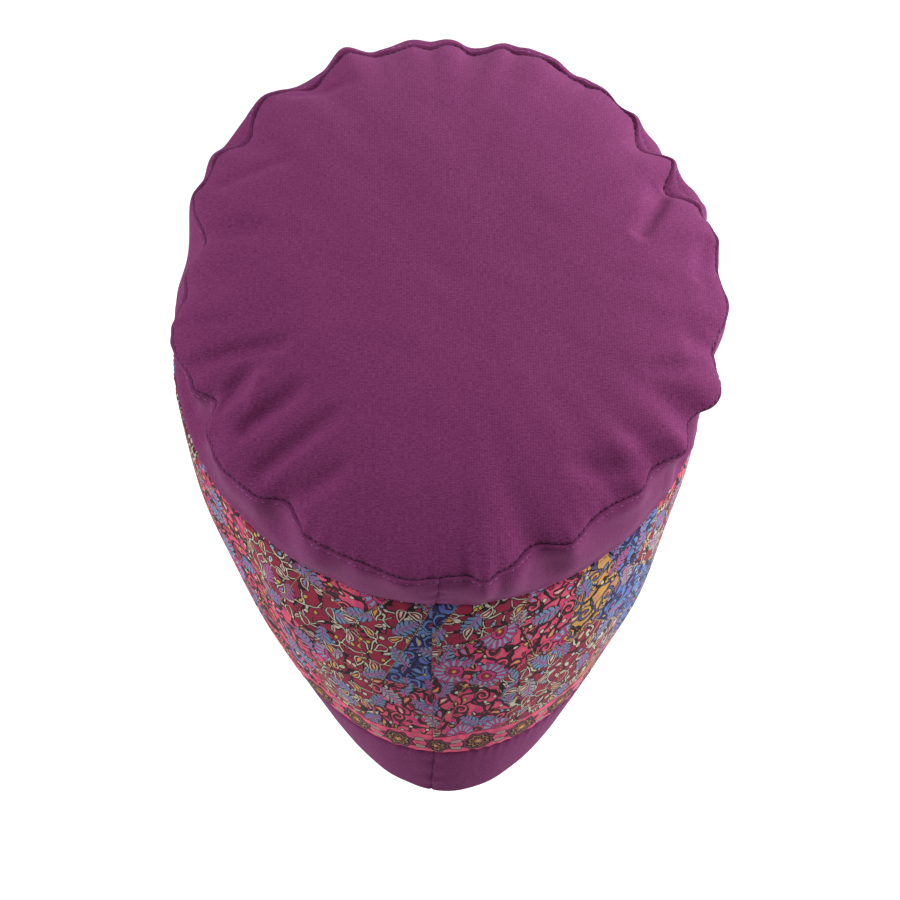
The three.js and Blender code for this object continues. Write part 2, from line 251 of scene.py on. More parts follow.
# Relief of the cloth in mm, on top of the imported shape: what its seams and slackness do to it
relief = {
    # depth and width of a seam's sharp line, and of the dip beside it
    "seam": [(0.8, 0.8), (0.25, 2.6)],
    "backSeam": [(0.5, 0.5), (0.3, 2.2)],
    "backPuckerReach": 4, "printBackShare": 0.45,    # the print hides more of its back seam
    # ripples along a seam: seed, fewest and most round the head, depth, and reach away from the seam
    "ripples": {
        "pucker": (11, 45, 115, 0.16, 5),      # short ones that the crown seam's stitches pull
        "pull": (12, 16, 40, 0.2, 9),          # longer ones between them
        "gather": (21, 14, 40, 0.35, 20),      # creases that run in over the crown
        "drape": (24, 16, 60, 0.5, 12),        # and down the side panel
        "sideEdge": (26, 50, 120, 0.2, 3),     # the seam between the side panel and the print
        "printEdge": (26, 50, 120, 0.2, 4),
        "hem": (28, 50, 120, 0.15, 4),         # the seam between the print and the rim
        "rim": (29, 6, 30, 0.08, math.inf),    # the whole rim
    },
    "rippleStart": 3,                          # where creases begin beside the crown seam
    # soft unevenness of loose cloth: seed, depth and size
    "slack": {
        "crown": (22, 0.16, 26), "crownFine": (23, 0.05, 9), "side": (25, 0.35, 16), "print": (27, 0.45, 24),
        "backSeam": (31, 0.3, 4),
    },
    "crownFade": 12, "sideFade": 8, "bandFade": 10,      # how far from a seam the cloth is fully slack
    "sideRadius": 110, "printRadius": 105, "printStretch": 0.6,
    "creaseShare": 0.4, "creaseWidth": 0.7,    # how much sharper the middle of each crown fold is
    # the side panel over the crown seam's turned edges, pressed in by its second stitch row, and rolled over
    # its lower seam: height, distance from the seam and half width
    "welt": (0.22, 2.0, 1.7), "row": (-0.25, 3.6, 0.8), "curl": (0.5, 3.2, 3.2),
}
rowDistance = relief["row"][1]

# Slight hollows beside the crown seam, given as the crown's folds are
hollows = [
    (-102, -22, -103, 6, 0.8, 7), (-95, 22, -97, 36, 0.6, 7), (-84, 78, -66, 66, 0.8, 6),
    (-68, 96, -52, 82, 0.8, 6),
]


def seamDip(distance, seam="seam"):
    return sum(depth * np.exp(-distance / width) for depth, width in relief[seam])


def ripples(turn, distance, *names):
    total = 0
    for seed, fewest, most, depth, reach in (relief["ripples"][name] for name in names):
        total = total + depth * roundWaves(seed, turn, fewest, most) * np.exp(-distance / reach)
    return total


def slack(name, x, y):
    seed, depth, size = relief["slack"][name]
    return depth * softWaves(seed, x, y, size)


def fadeIn(distance, reach):
    return np.clip(distance / reach, 0, 1)


def swelling(name, distance):
    height, place, width = relief[name]
    return height * bump((distance - place) / width)


def backSeamDip(turn, point, up, share=1):
    gap = np.abs(np.radians(turnBetween(turn, backTurn)) * np.hypot(point[..., 0], point[..., 1]))
    pucker = slack("backSeam", up, 0 * up) * np.exp(-gap / relief["backPuckerReach"])
    return share * (seamDip(gap, "backSeam") - pucker)


# Relief of each piece at points so far from its lower (below) and upper (above) seam
def crownRelief(turn, point, below, above):
    x, y = point[..., 0] - crownCentre[0], (point - crownCentre) @ crownBack
    gather = ripples(turn, below, "gather") * (1 - np.exp(-below / relief["rippleStart"]))
    crease = relief["creaseShare"] * crownFoldDepth(x, y, width=relief["creaseWidth"])
    loose = slack("crown", x, y) + slack("crownFine", x, y) - crease - crownFoldDepth(x, y, hollows)
    loose = loose * fadeIn(below, relief["crownFade"])
    return ripples(turn, below, "pucker", "pull") + gather + loose - seamDip(below)


def sideRelief(turn, point, below, above):
    drape = ripples(turn, above, "drape") * (1 - np.exp(-above / relief["rippleStart"]))
    edges = ripples(turn, above, "pucker", "pull") + ripples(turn, below, "sideEdge")
    loose = slack("side", np.radians(turn) * relief["sideRadius"], above)
    loose = loose * fadeIn(above, relief["sideFade"]) * fadeIn(below, relief["sideFade"])
    swell = swelling("welt", above) + swelling("row", above) + swelling("curl", below)
    dips = seamDip(above) + seamDip(below) + backSeamDip(turn, point, above)
    return drape + edges + loose + swell - dips


def printRelief(turn, point, below, above):
    edges = ripples(turn, above, "printEdge") + ripples(turn, below, "hem")
    loose = slack("print", np.radians(turn) * relief["printRadius"], above * relief["printStretch"])
    loose = loose * fadeIn(above, relief["bandFade"]) * fadeIn(below, relief["bandFade"])
    dips = seamDip(above) + seamDip(below) + backSeamDip(turn, point, above, relief["printBackShare"])
    return edges + loose - dips


def rimRelief(turn, point, below, above):
    loose = ripples(turn, above, "rim") * fadeIn(above, relief["bandFade"])
    return ripples(turn, above, "hem") + loose - seamDip(above) - backSeamDip(turn, point, above)


# Pieces: the outer face and its relief, the loops it runs between, the faces it is sewn over and under, its
# cloth's thickness and length round the head in mm, and the mesh rows up its outer and inner side
pieces = {
    "crown": {"face": crownFace, "relief": crownRelief, "loops": ("crownSeam", "crownSeam"), "over": sideFace,
              "under": None, "layer": cloth["singleLayer"], "girth": 712, "rows": (90, 26)},
    "side": {"face": sideFace, "relief": sideRelief, "loops": ("printTop", "crownSeam"), "over": printFace,
             "under": crownFace, "layer": cloth["singleLayer"], "girth": 716, "rows": (46, 14)},
    "print": {"face": printFace, "relief": printRelief, "loops": ("rimSeam", "printTop"), "over": rimFace,
              "under": sideFace, "layer": cloth["singleLayer"], "girth": 640, "rows": (84, 20)},
    "rim": {"face": rimFace, "relief": rimRelief, "loops": ("rimEdge", "rimSeam"), "over": None,
            "under": printFace, "layer": cloth["doubledLayer"], "girth": 566, "rows": (34, 14)},
}


# Turn of a point of a column, which leans most at the back seam and not at all at the front
def leanedTurn(piece, column, share):
    lower, upper = (loops[name]["lean"] for name in piece["loops"])
    return column + mix(lower, upper, share) * (1 - np.abs(turnBetween(column, backTurn)) / 180)


# A point of a piece's cloth at a share of its height, so many mm into the cloth, with the way out of it
def clothPoint(piece, column, share, into):
    column, share, into = (np.asarray(a, float) for a in np.broadcast_arrays(column, share, into))
    face, turn = piece["face"], leanedTurn(piece, column, share)
    height = faceHeight(face, turn)
    point, normal = face(turn, share), faceNormal(face, turn, share)
    outward = normal
    below, above = share * height, (1 - share) * height
    for lower, upper, distance in ((piece["over"], face, below), (face, piece["under"], above)):
        if lower and upper:
            turned = 1 - fadeIn(distance, cloth["mitreReach"])
            outward = mix(outward, seamNormal(lower, upper, turn), turned[..., None])
    outward = unit(outward)
    stretch = np.maximum(cloth["thinnestMitre"], np.sum(outward * normal, axis=-1))
    lift = piece["relief"](column, point, below, above) - into / stretch
    return point + outward * lift[..., None], outward


steps = np.arange(cloth["columns"]) * 360 / cloth["columns"]
turns = backTurn + np.sort(np.concatenate([steps, cloth["fineSteps"]]))
heights = {name: faceHeight(piece["face"], turns) for name, piece in pieces.items()}


def addPiece(name, points, faces):
    mesh = bpy.data.meshes.new(name)
    mesh.from_pydata((points * mm).tolist(), [], faces)
    mesh.polygons.foreach_set("use_smooth", np.ones(len(faces), bool))
    mesh.update()
    thing = bpy.data.objects.new(name, mesh)
    scene.collection.objects.link(thing)
    return thing


# The places on the cloth of a row of faces, from those of each corner
def cornerPlaces(*corners):
    return np.stack([np.stack(corner, 1) for corner in corners], 1).reshape(-1, 2)


# A closed mesh from rows of points, each a share of the height and the mm into the cloth. A ring joins its
# last row to its first; a dome ends on two points. The inner rows show the cloth's reverse.
def makePiece(name, key, rows, innerRows=(), poles=()):
    piece = pieces[key]
    count, total = len(turns), len(rows)
    shares, intos = (np.array([np.broadcast_to(value, turns.shape) for value in values])
                     for values in zip(*rows))
    grid, _ = clothPoint(piece, turns[None, :], shares, intos)
    points = grid.reshape(-1, 3)
    if key == "crown":
        plan = grid - crownCentre
        across, up = plan[..., 0], plan @ crownBack
        nextAcross = np.roll(across, -1, 1)
    else:
        spread = (np.append(turns, backTurn + 360) - backTurn) * piece["girth"] / 360
        across, nextAcross = (np.broadcast_to(side, shares.shape) for side in (spread[:-1], spread[1:]))
        up = shares * heights[key]
    nextUp = np.roll(up, -1, 1)
    column = np.arange(count)
    nextColumn = (column + 1) % count
    faces, places, inner = [], [], []
    for row in range(total - 1 if poles else total):
        above = (row + 1) % total
        low, high = row * count, above * count
        faces += np.stack([low + column, low + nextColumn, high + nextColumn, high + column], 1).tolist()
        places.append(cornerPlaces((across[row], up[row]), (nextAcross[row], nextUp[row]),
                                   (nextAcross[above], nextUp[above]), (across[above], up[above])))
        inner += [int(row in innerRows)] * count
    if poles:
        points = np.vstack([points, poles])
        top, lowPole, middle = column + (total - 1) * count, 0 * column + total * count, np.zeros(count)
        faces += np.stack([lowPole, nextColumn, column], 1).tolist()
        faces += np.stack([top, np.roll(top, -1), lowPole + 1], 1).tolist()
        places.append(cornerPlaces((middle, middle), (nextAcross[0], nextUp[0]), (across[0], up[0])))
        places.append(cornerPlaces((across[-1], up[-1]), (nextAcross[-1], nextUp[-1]), (middle, middle)))
        inner += [1] * count + [0] * count
    thing = addPiece(name, points, faces)
    layer = thing.data.uv_layers.new(name="clothPlace")        # in mm along and up the cloth
    layer.uv.foreach_set("vector", np.concatenate(places).astype(np.float32).ravel())
    thing.data.polygons.foreach_set("material_index", np.array(inner, np.int32))
    return thing


# Steps from 0 to 1 that lie closer at both ends
def easedSteps(count, closeness=0.11):
    share = np.linspace(0, 1, count)
    return share - closeness * np.sin(2 * np.pi * share)


def bandRows(key):
    gap, layer, height = cloth["seamGap"], pieces[key]["layer"], heights[key]
    outerCount, innerCount = pieces[key]["rows"]
    span = height - 2 * gap
    outer = [((gap + span * share) / height, 0) for share in easedSteps(outerCount)]
    inner = [((gap + span * share) / height, layer) for share in np.linspace(1, 0, innerCount)]
    return outer + inner, range(outerCount, outerCount + innerCount - 1)


def crownRows():
    gap, reach, layer = cloth["seamGap"] / heights["crown"], crown["meshReach"], pieces["crown"]["layer"]
    outerCount, innerCount = pieces["crown"]["rows"]
    outerShares = np.linspace(0, 1, outerCount) ** crown["meshPower"]
    outer = [(gap + (reach - gap) * share, 0) for share in outerShares]
    inner = [(gap + (reach - gap) * share, layer) for share in np.linspace(1, 0, innerCount)]
    return inner + outer, range(innerCount - 1)


# The rim band is one strip folded double: out round the fold and up, and back down and up inside itself
def rimRows(foldSteps=9, slitSteps=5):
    whole, layer, height = cloth["doubledLayer"], cloth["foldedLayer"], heights["rim"]
    radius, slit = whole / 2, whole / 2 - layer
    low, high = radius / height, 1 - cloth["seamGap"] / height
    outerCount, innerCount = pieces["rim"]["rows"]
    climb = np.linspace(0, 1, innerCount)[1:]

    def straight(shares, into):
        return [(low + (high - low) * share, into) for share in shares]

    def folded(size, start, end, count):
        angles = np.linspace(start, end, count)
        return [((radius - size * math.sin(a)) / height, radius - size * math.cos(a)) for a in angles]

    outer = folded(radius, math.pi, 0, foldSteps) + straight(easedSteps(outerCount)[1:], 0)
    inner = straight(climb[::-1], layer) + folded(slit, 0, math.pi, slitSteps)
    inner += straight(climb, whole - layer) + straight(climb[::-1], whole)
    return outer + inner, ()


poleInto = np.array([pieces["crown"]["layer"], 0])
poles, _ = clothPoint(pieces["crown"], np.zeros(2), np.full(2, crown["poleShare"]), poleInto)
crownPanel = makePiece("crown_cloth", "crown", *crownRows(), list(poles))
sidePanel = makePiece("side_cloth", "side", *bandRows("side"))
printBand = makePiece("print_cloth", "print", *bandRows("print"))
rimBand = makePiece("rim_cloth", "rim", *rimRows())
print("cloth ready:", [len(thing.data.polygons) for thing in (crownPanel, sidePanel, printBand, rimBand)])

# Sewing thread in mm
stitch = {
    # the dark needle line in the crown seam, the pale second row below it, and the print's upper edge
    "seam": {"pitch": 2.6, "length": 1.6, "thread": 0.3, "distance": 0.4, "slant": 0.2},
    "row": {"pitch": 2.4, "length": 1.1, "thread": 0.2, "distance": rowDistance, "slant": 0.15, "kept": 0.6},
    "top": {"pitch": 2.1, "length": 1.6, "thread": 0.16, "distance": 1.1, "slant": 0.15},
    # the thin rungs between the first two, which stop short of the second, and the rows up the centre back
    "rung": {"thread": 0.16, "lean": 0.2, "start": 0.5, "shortest": 0.2, "longest": 0.6, "lift": 0.02},
    "back": {"pitch": 2.5, "length": 1.5, "thread": 0.2, "start": 1.4, "stop": 1.2, "sunk": 0.05},
    "turnJitter": 0.08, "backJitter": 0.06,          # degrees
    "shortest": 0.8, "longest": 1.15,                # shares of the length
    "lift": 0.3,                                     # share of the thread's radius
    "seamRadius": 112,
}


# Many short threads lie on the cloth as one piece, each from a start to an end
def makeThreads(name, starts, ends, outs, radius):
    sides, rings = 6, np.array([-1, -0.8, 0, 0.8, 1])
    thickness = np.array([0.25, 0.8, 1, 0.8, 0.25]) * radius
    across = unit(np.cross(unit(ends - starts), outs))
    out = np.cross(across, unit(ends - starts))
    angles = np.arange(sides)[:, None] * 2 * np.pi / sides
    middle = (starts + ends)[:, None, None] / 2 + (ends - starts)[:, None, None] / 2 * rings[:, None, None]
    ringShape = across[:, None, None] * np.cos(angles) + out[:, None, None] * np.sin(angles)
    points = (middle + ringShape * thickness[:, None, None]).reshape(-1, 3)
    size = sides * len(rings)
    quads = [[low + i, low + (i + 1) % sides, low + sides + (i + 1) % sides, low + sides + i]
             for low in range(0, size - sides, sides) for i in range(sides)]
    caps = [list(range(sides))[::-1], list(range(size - sides, size))]
    faces = [[corner + i * size for corner in face] for i in range(len(starts)) for face in quads + caps]
    return addPiece(name, points, faces)


# The end of a stitch: its turn in degrees, and its distance in mm from a piece's upper or lower seam
def stitchEnd(key, turn, distance, fromTop, lift):
    piece = pieces[key]
    share = distance / faceHeight(piece["face"], turn)
    return clothPoint(piece, turn, 1 - share if fromTop else share, -lift)


def seamRow(name, key, look, fromTop, seed):
    draw = np.random.default_rng(seed)
    number = round(pieces[key]["girth"] / look["pitch"])
    turn = backTurn + (np.arange(number) + 0.5) * 360 / number
    turn = turn + draw.uniform(-stitch["turnJitter"], stitch["turnJitter"], number)
    half = np.degrees(look["length"] / 2 / stitch["seamRadius"])
    half = half * draw.uniform(stitch["shortest"], stitch["longest"], number)
    tip = draw.uniform(-look["slant"], look["slant"], number)
    chosen = draw.uniform(0, 1, number) < look.get("kept", 1)
    turn, half, tip = turn[chosen], half[chosen], tip[chosen]
    lift = stitch["lift"] * look["thread"]
    starts, outs = stitchEnd(key, turn - half, look["distance"] + tip, fromTop, lift)
    ends, _ = stitchEnd(key, turn + half, look["distance"] - tip, fromTop, lift)
    return makeThreads(name, starts, ends, outs, look["thread"])


def rungRow(name, key, look, seed):
    number = round(pieces[key]["girth"] / stitch["row"]["pitch"])
    turn = backTurn + (np.arange(number) + 0.5) * 360 / number
    draw = np.random.default_rng(seed)
    end = rowDistance - draw.uniform(look["shortest"], look["longest"], number)
    starts, outs = stitchEnd(key, turn - look["lean"], np.full(number, look["start"]), True, look["lift"])
    ends, _ = stitchEnd(key, turn + look["lean"], end, True, look["lift"])
    return makeThreads(name, starts, ends, outs, look["thread"])


def backRow(name, key, look, seed):
    draw = np.random.default_rng(seed)
    height = float(faceHeight(pieces[key]["face"], np.array(float(backTurn))))
    distance = np.arange(look["start"], height - look["stop"], look["pitch"])
    turn = backTurn + draw.uniform(-stitch["backJitter"], stitch["backJitter"], len(distance))
    half = look["length"] / 2
    starts, outs = stitchEnd(key, turn, distance - half, False, -look["sunk"])
    ends, _ = stitchEnd(key, turn, distance + half, False, -look["sunk"])
    return makeThreads(name, starts, ends, outs, look["thread"])


crownStitches = seamRow("crown_seam_stitches", "crown", stitch["seam"], False, 41)
lowerStitches = seamRow("second_row_stitches", "side", stitch["row"], True, 42)
topStitches = seamRow("print_top_stitches", "print", stitch["top"], True, 43)
rungStitches = rungRow("rung_stitches", "side", stitch["rung"], 44)
backStitches = [backRow(f"{key}_back_stitches", key, stitch["back"], seed)
                for key, seed in (("side", 45), ("print", 46), ("rim", 47))]
print("stitches ready:", len(crownStitches.data.polygons), "faces in the crown seam")


# Colours are sRGB hex values
def toLinear(hexColour):
    parts = [int(hexColour[i:i + 2], 16) / 255 for i in (1, 3, 5)]
    return [part / 12.92 if part <= 0.04045 else ((part + 0.055) / 1.055) ** 2.4 for part in parts] + [1]


# Adds a node with its settings and links, and gives back one of its outputs. The kind may name its
# operation too, as in "Math SINE".
def addNode(tree, kind, inputs=(), out=0, **settings):
    kind, _, operation = kind.partition(" ")
    node = tree.nodes.new("ShaderNode" + kind)
    if operation:
        node.operation = operation
    for name, value in settings.items():
        setattr(node, name, value)
    named = inputs.items() if isinstance(inputs, dict) else enumerate(inputs)
    shown = [socket for socket in node.inputs if socket.enabled]
    for name, value in named:
        socket = shown[name] if isinstance(name, int) else node.inputs[name]
        if isinstance(value, bpy.types.NodeSocket):
            tree.links.new(value, socket)
        else:
            socket.default_value = value
    given = [socket for socket in node.outputs if socket.enabled]
    return given[out] if given else None


# A new material, and the function that adds nodes to it
def newMaterial(name):
    material = bpy.data.materials.new(name)
    material.use_nodes = True
    material.node_tree.nodes.clear()
    return material, partial(addNode, material.node_tree)


# Ends a material: its colour, the values of its finish by the shader's sockets, and its relief in mm
def finishMaterial(add, colour, finish, height=None, depth=0, strength=0.5):
    inputs = {"Base Color": colour, **finish}
    if height is not None:
        inputs["Normal"] = add("Bump", {"Strength": strength, "Distance": depth * mm, "Height": height})
    add("OutputMaterial", {"Surface": add("BsdfPrincipled", inputs)})


# Jersey of bamboo viscose, dyed plum: fine knit ribs that take a soft light, with no gloss
jersey = {
    # the knit's two tones: the darker is painted shade in the grooves, the lighter painted light on the ribs
    # and raised loops, and both also stand for the yarn's thick and thin slubs
    "ribLightAndSlub": "#853C6E", "grooveShadeAndSlub": "#652050",
    "ribPitch": 1.0,         # real ribs are about 0.5 mm apart: drawn as coarse as shows from here
    "coursePitch": 1.15,     # rows of loops across them, drawn coarser too
    "ribDepth": 0.026,
    "finish": {"Roughness": 0.88, "IOR": 1.46, "Specular IOR Level": 0.18, "Sheen Weight": 0.04,
               "Sheen Roughness": 0.5, "Sheen Tint": toLinear("#C79BBE")},
}

# What is uneven in any of the knits here
knit = {
    "wander": {"Scale": 0.12, "Detail": 2.0},      # ribs stray sideways
    "slub": {"Scale": 1.0, "Detail": 3.0}, "slubStretch": (0.2, 1.9, 0),           # thick and thin yarn
    "speck": {"Scale": 1.0, "Detail": 2.0}, "speckStretch": (0.75, 2.3, 0),        # single loops
    # ribs and specks lighten the colour where they raise the knit, as painted light and painted shade; slubs
    # are the yarn's own tone
    "slubShare": 0.8, "speckShare": 2.0,
    "ribShares": (-0.98, -0.86),                   # of a groove and a rib, before slubs and specks are added
    "courseHeight": 0.15, "speckHeight": 2.0,      # beside a height of 1 for the ribs
}


# The knit in mm on the cloth: its height, and how light the cloth is from 0 to 1: lighter where the knit
# stands high and darker in its grooves, as painted light and painted shade, and varied by the yarn's own
# slubs
def knitOf(add, look):
    place = add("UVMap", uv_map="clothPlace")
    across, up, _ = add("SeparateXYZ", [place]).node.outputs
    wander = add("TexNoise", {"Vector": place, **knit["wander"]})
    ribAt = add("Math MULTIPLY_ADD", [across, 2 * math.pi / look["ribPitch"], wander])
    rib = add("Math SINE", [ribAt])
    courseAt = add("Math MULTIPLY", [up, 2 * math.pi / look["coursePitch"]])
    course = add("Math SINE", [courseAt])
    slubAt = add("VectorMath MULTIPLY", [place, knit["slubStretch"]])
    slub = add("TexNoise", {"Vector": slubAt, **knit["slub"]})
    speckAt = add("VectorMath MULTIPLY", [place, knit["speckStretch"]])
    speck = add("TexNoise", {"Vector": speckAt, **knit["speck"]})
    ribShare = add("MapRange", [rib, -1.0, 1.0, *knit["ribShares"]])
    withSlub = add("Math MULTIPLY_ADD", [slub, knit["slubShare"], ribShare])
    share = add("Math MULTIPLY_ADD", [speck, knit["speckShare"], withSlub])
    crossed = add("Math MULTIPLY_ADD", [course, knit["courseHeight"], rib])
    return add("Math MULTIPLY_ADD", [speck, knit["speckHeight"], crossed]), share


def jerseyMaterial(name, look):
    material, add = newMaterial(name)
    height, share = knitOf(add, look)
    # the plum, mixed between painted shade in the grooves and painted light on the ribs and raised loops,
    # with the yarn's slubs
    colour = add("Mix", [share, toLinear(look["grooveShadeAndSlub"]), toLinear(look["ribLightAndSlub"])], data_type="RGBA")
    finishMaterial(add, colour, look["finish"], height, look["ribDepth"])
    return material


# The plum cloth is alike on both sides
plumJersey = jerseyMaterial("bambooJerseyPlum", jersey)
for thing in (crownPanel, sidePanel, rimBand):
    thing.data.materials.append(plumJersey)
    thing.data.materials.append(plumJersey)

# The same jersey with a print: a patchwork of vines, leaves, drops, curls and fans in dark outline, flat and
# matt as ink that has soaked in. Sizes are mm on the cloth, and bands are pairs of a limit and a colour.
darkInk = "#27121C"
printLook = {
    "start": (1700, 12, 0),                    # where on the printed cloth the band is cut out
    "line": 0.4, "outline": darkInk,
    "wobble": (0.35, 1.5),                     # scale and reach of the hand-drawn wobble of every line
    "ribPitch": 0.85, "coursePitch": 1.15,     # drawn coarser than the real 0.5 mm, as the plum's are
    "ribDepth": 0.05,
    "shadeAndSlubShares": (0.855, 0.98),                # how light the print is made in a groove and on a rib: painted shade and painted light, with the yarn's slubs
    "finish": {"Roughness": 0.8, "IOR": 1.46, "Specular IOR Level": 0.25, "Sheen Weight": 0.05,
               "Sheen Roughness": 0.5},
    "patchSize": 29, "mottle": {"Scale": 0.2, "Detail": 2.0}, "mottleRange": (0.4, 0.62, 0.0, 0.8),
    # each kind of patch: the share up from which it is drawn, its ground, second tone and line colour, and
    # how many of its cells hold a curl, a drop and a fan
    "patches": [
        (0.00, "#A62446", "#84203E", "#D2C9B4", (0.0, 0.75, 0.0)),
        (0.35, "#EC5C78", "#CC2C74", "#4A2430", (0.35, 0.6, 0.45)),
        (0.6, "#6488C4", "#5E66C0", "#332C74", (0.75, 0.35, 0.0)),
        (0.8, "#96486A", "#74467A", "#A9A0B4", (0.0, 0.3, 0.75)),
        (0.9, "#DCA64A", "#C08A66", "#5E5E92", (0.7, 0.4, 0.0)),
    ],
    "leaves": [(0.0, "#6C94BC"), (0.38, "#7E84B0"), (0.6, "#76A0C0"), (0.8, "#B0568A"), (0.88, "#B4AEAC")],
    "cores": [(0.0, "#D9B050"), (0.35, "#A32A4C"), (0.6, "#D8D0BE"), (0.8, "#7A8CC4")],
    "dots": [(0.0, "#D8D0BE"), (0.35, "#DDB050"), (0.6, "#A02C48"), (0.8, "#86A6CC")],
    "vine": {"size": 8.0, "warp": (0.11, 14), "half": 0.33, "outlineLines": 1.4,
             "growth": {"Scale": 0.13, "Detail": 0.0}, "growsFrom": 0.44},
    "bud": {"size": 6.4, "randomness": 0.9, "kept": 0.6, "bend": 0.26, "half": 1.3, "heart": 0.4},
    "dot": {"size": 4.2, "randomness": 0.8, "kept": 0.45, "radius": 1.2},
    "curl": {"size": 8.6, "randomness": 0.5, "pitch": 2.6, "radius": 3.7, "half": 0.4,
             "eye": [(0.75, "#A32A4C")]},
    "leaf": {"size": 14.5, "randomness": 0.75, "kept": 0.75, "bend": 0.075, "half": 3.6,
             "lobeAlong": 2.9, "lobeLean": -2.0, "lobeDepth": -0.5,
             "gapStart": 0.7, "gap": [(-0.72, "#2A2640")], "vein": [(0.2, "#A8306C")],
             "nearVein": (0.3, 2.4, 0.75, 0.0), "nearVeinColour": "#9A6AA0"},
    "drop": {"size": 9.6, "randomness": 0.65, "length": (-4.4, 3.1), "bend": 0.09, "middle": 0.5,
             "width": 4.6, "ring": 0.55, "core": -1.75},
    "fan": {"size": 21, "randomness": 0.75, "flatness": 0.8, "petals": 15.0, "petalDepth": -0.55,
            "radius": 7.4, "opening": 2.15, "rim": "#C43C78",
            "petalBands": [(0.55, darkInk), (0.3, "#8C8CBC"), (-0.75, "#A8A6BC")],
            "eye": [(3.4, darkInk), (3.05, "#CC3C7C"), (1.9, darkInk), (1.6, "#A32A4C"), (0.7, "#DDB050")]},
    "border": {"half": 0.3, "colour": "#4A2A38", "threadHalf": 0.18, "thread": "#C09A68",
               "dashPitch": 1.7, "dashShare": 0.35},
    "stripe": {"height": 14, "edge": 0.45, "light": "#F0607C", "dark": "#D63C74",
               "pitch": 23, "flatness": 0.66, "petals": 8.0, "petalDepth": 0.5,
               "medallion": [(5.6, darkInk), (4.9, "#8C3A58"), (4.3, darkInk), (3.3, "#B48C4C"),
                             (2.8, darkInk), (1.9, "#8A4448"), (0.9, "#DDB050")],
               "beadRow": 2.6, "beadHalf": 1.5,
               "bead": [(1.5, darkInk), (1.05, "#A99AAC"), (0.45, "#B48C4C")]},
    # on the back of the cloth the ink shows only faintly
    "reverse": {"rose": "#B58C96", "lilac": "#9A8EA6",
                "stain": {"Scale": 0.22, "Detail": 4.0}, "stainRange": (0.38, 0.62, 0.0, 1.0),
                "finish": {"Roughness": 0.8, "Specular IOR Level": 0.25}},
}


# A ramp that picks one of several flat values by a share from 0 to 1: hex colours or three numbers
def pickOne(add, share, stops):
    picked = add("ValToRGB", [share])
    ramp = picked.node.color_ramp
    ramp.interpolation = "CONSTANT"
    while len(ramp.elements) < len(stops):
        ramp.elements.new(0.5)
    for element, (place, value) in zip(ramp.elements, stops):
        element.position, element.color = place, toLinear(value) if isinstance(value, str) else [*value, 1]
    return picked


# Places that stray by up to half a reach, in bumps of a noise scale
def warped(add, place, scale, reach):
    noise = add("TexNoise", {"Vector": place, "Scale": scale, "Detail": 1.0}, out=1)
    centred = add("VectorMath SUBTRACT", [noise, (0.5, 0.5, 0.5)])
    return add("VectorMath MULTIPLY_ADD", [centred, (reach, reach, 0), place])


# Cells of one motif each: the place within a cell, turned at random, and the cell's random shares
def motifCells(add, place, motif):
    cell = add("TexVoronoi", {"Vector": place, "Scale": 1 / motif["size"], "Randomness": motif["randomness"]},
               voronoi_dimensions="2D").node
    local = add("VectorMath SUBTRACT", [place, cell.outputs["Position"]])
    draws = add("SeparateColor", [cell.outputs["Color"]]).node.outputs
    angle = add("Math MULTIPLY", [draws[0], 2 * math.pi])
    turned = add("VectorRotate", {"Vector": local, "Angle": angle}, rotation_type="Z_AXIS")
    x, y, _ = add("SeparateXYZ", [turned]).node.outputs
    return x, y, draws[1], draws[2]


def lengthOf(add, x, y):
    both = add("Math MULTIPLY_ADD", [x, x, add("Math MULTIPLY", [y, y])])
    return add("Math SQRT", [both])


# How far y is from a line that bends with the square of x
def bowed(add, x, y, bend):
    return add("Math MULTIPLY_ADD", [add("Math MULTIPLY", [x, x]), bend, y])


# A wave round a middle, with so many petals
def petalWave(add, x, y, petals):
    heading = add("Math ARCTAN2", [y, x])
    return heading, add("Math COSINE", [add("Math MULTIPLY", [heading, petals])])


# How far a value is from a place on either side of 0
def fromPair(add, value, place):
    gap = add("Math SUBTRACT", [add("Math ABSOLUTE", [value]), place])
    return add("Math ABSOLUTE", [gap])


# Where a value is under a limit, as 1, kept within another mask
def under(add, value, limit, within=1.0):
    return add("Math MULTIPLY", [within, add("Math LESS_THAN", [value, limit])])


# A colour painted over with bands, each where a value is under the band's limit
def painted(add, colour, value, bands, within=1.0):
    for limit, hue in bands:
        hue = toLinear(hue) if isinstance(hue, str) else hue
        colour = add("Mix", [under(add, value, limit, within), colour, hue], data_type="RGBA")
    return colour


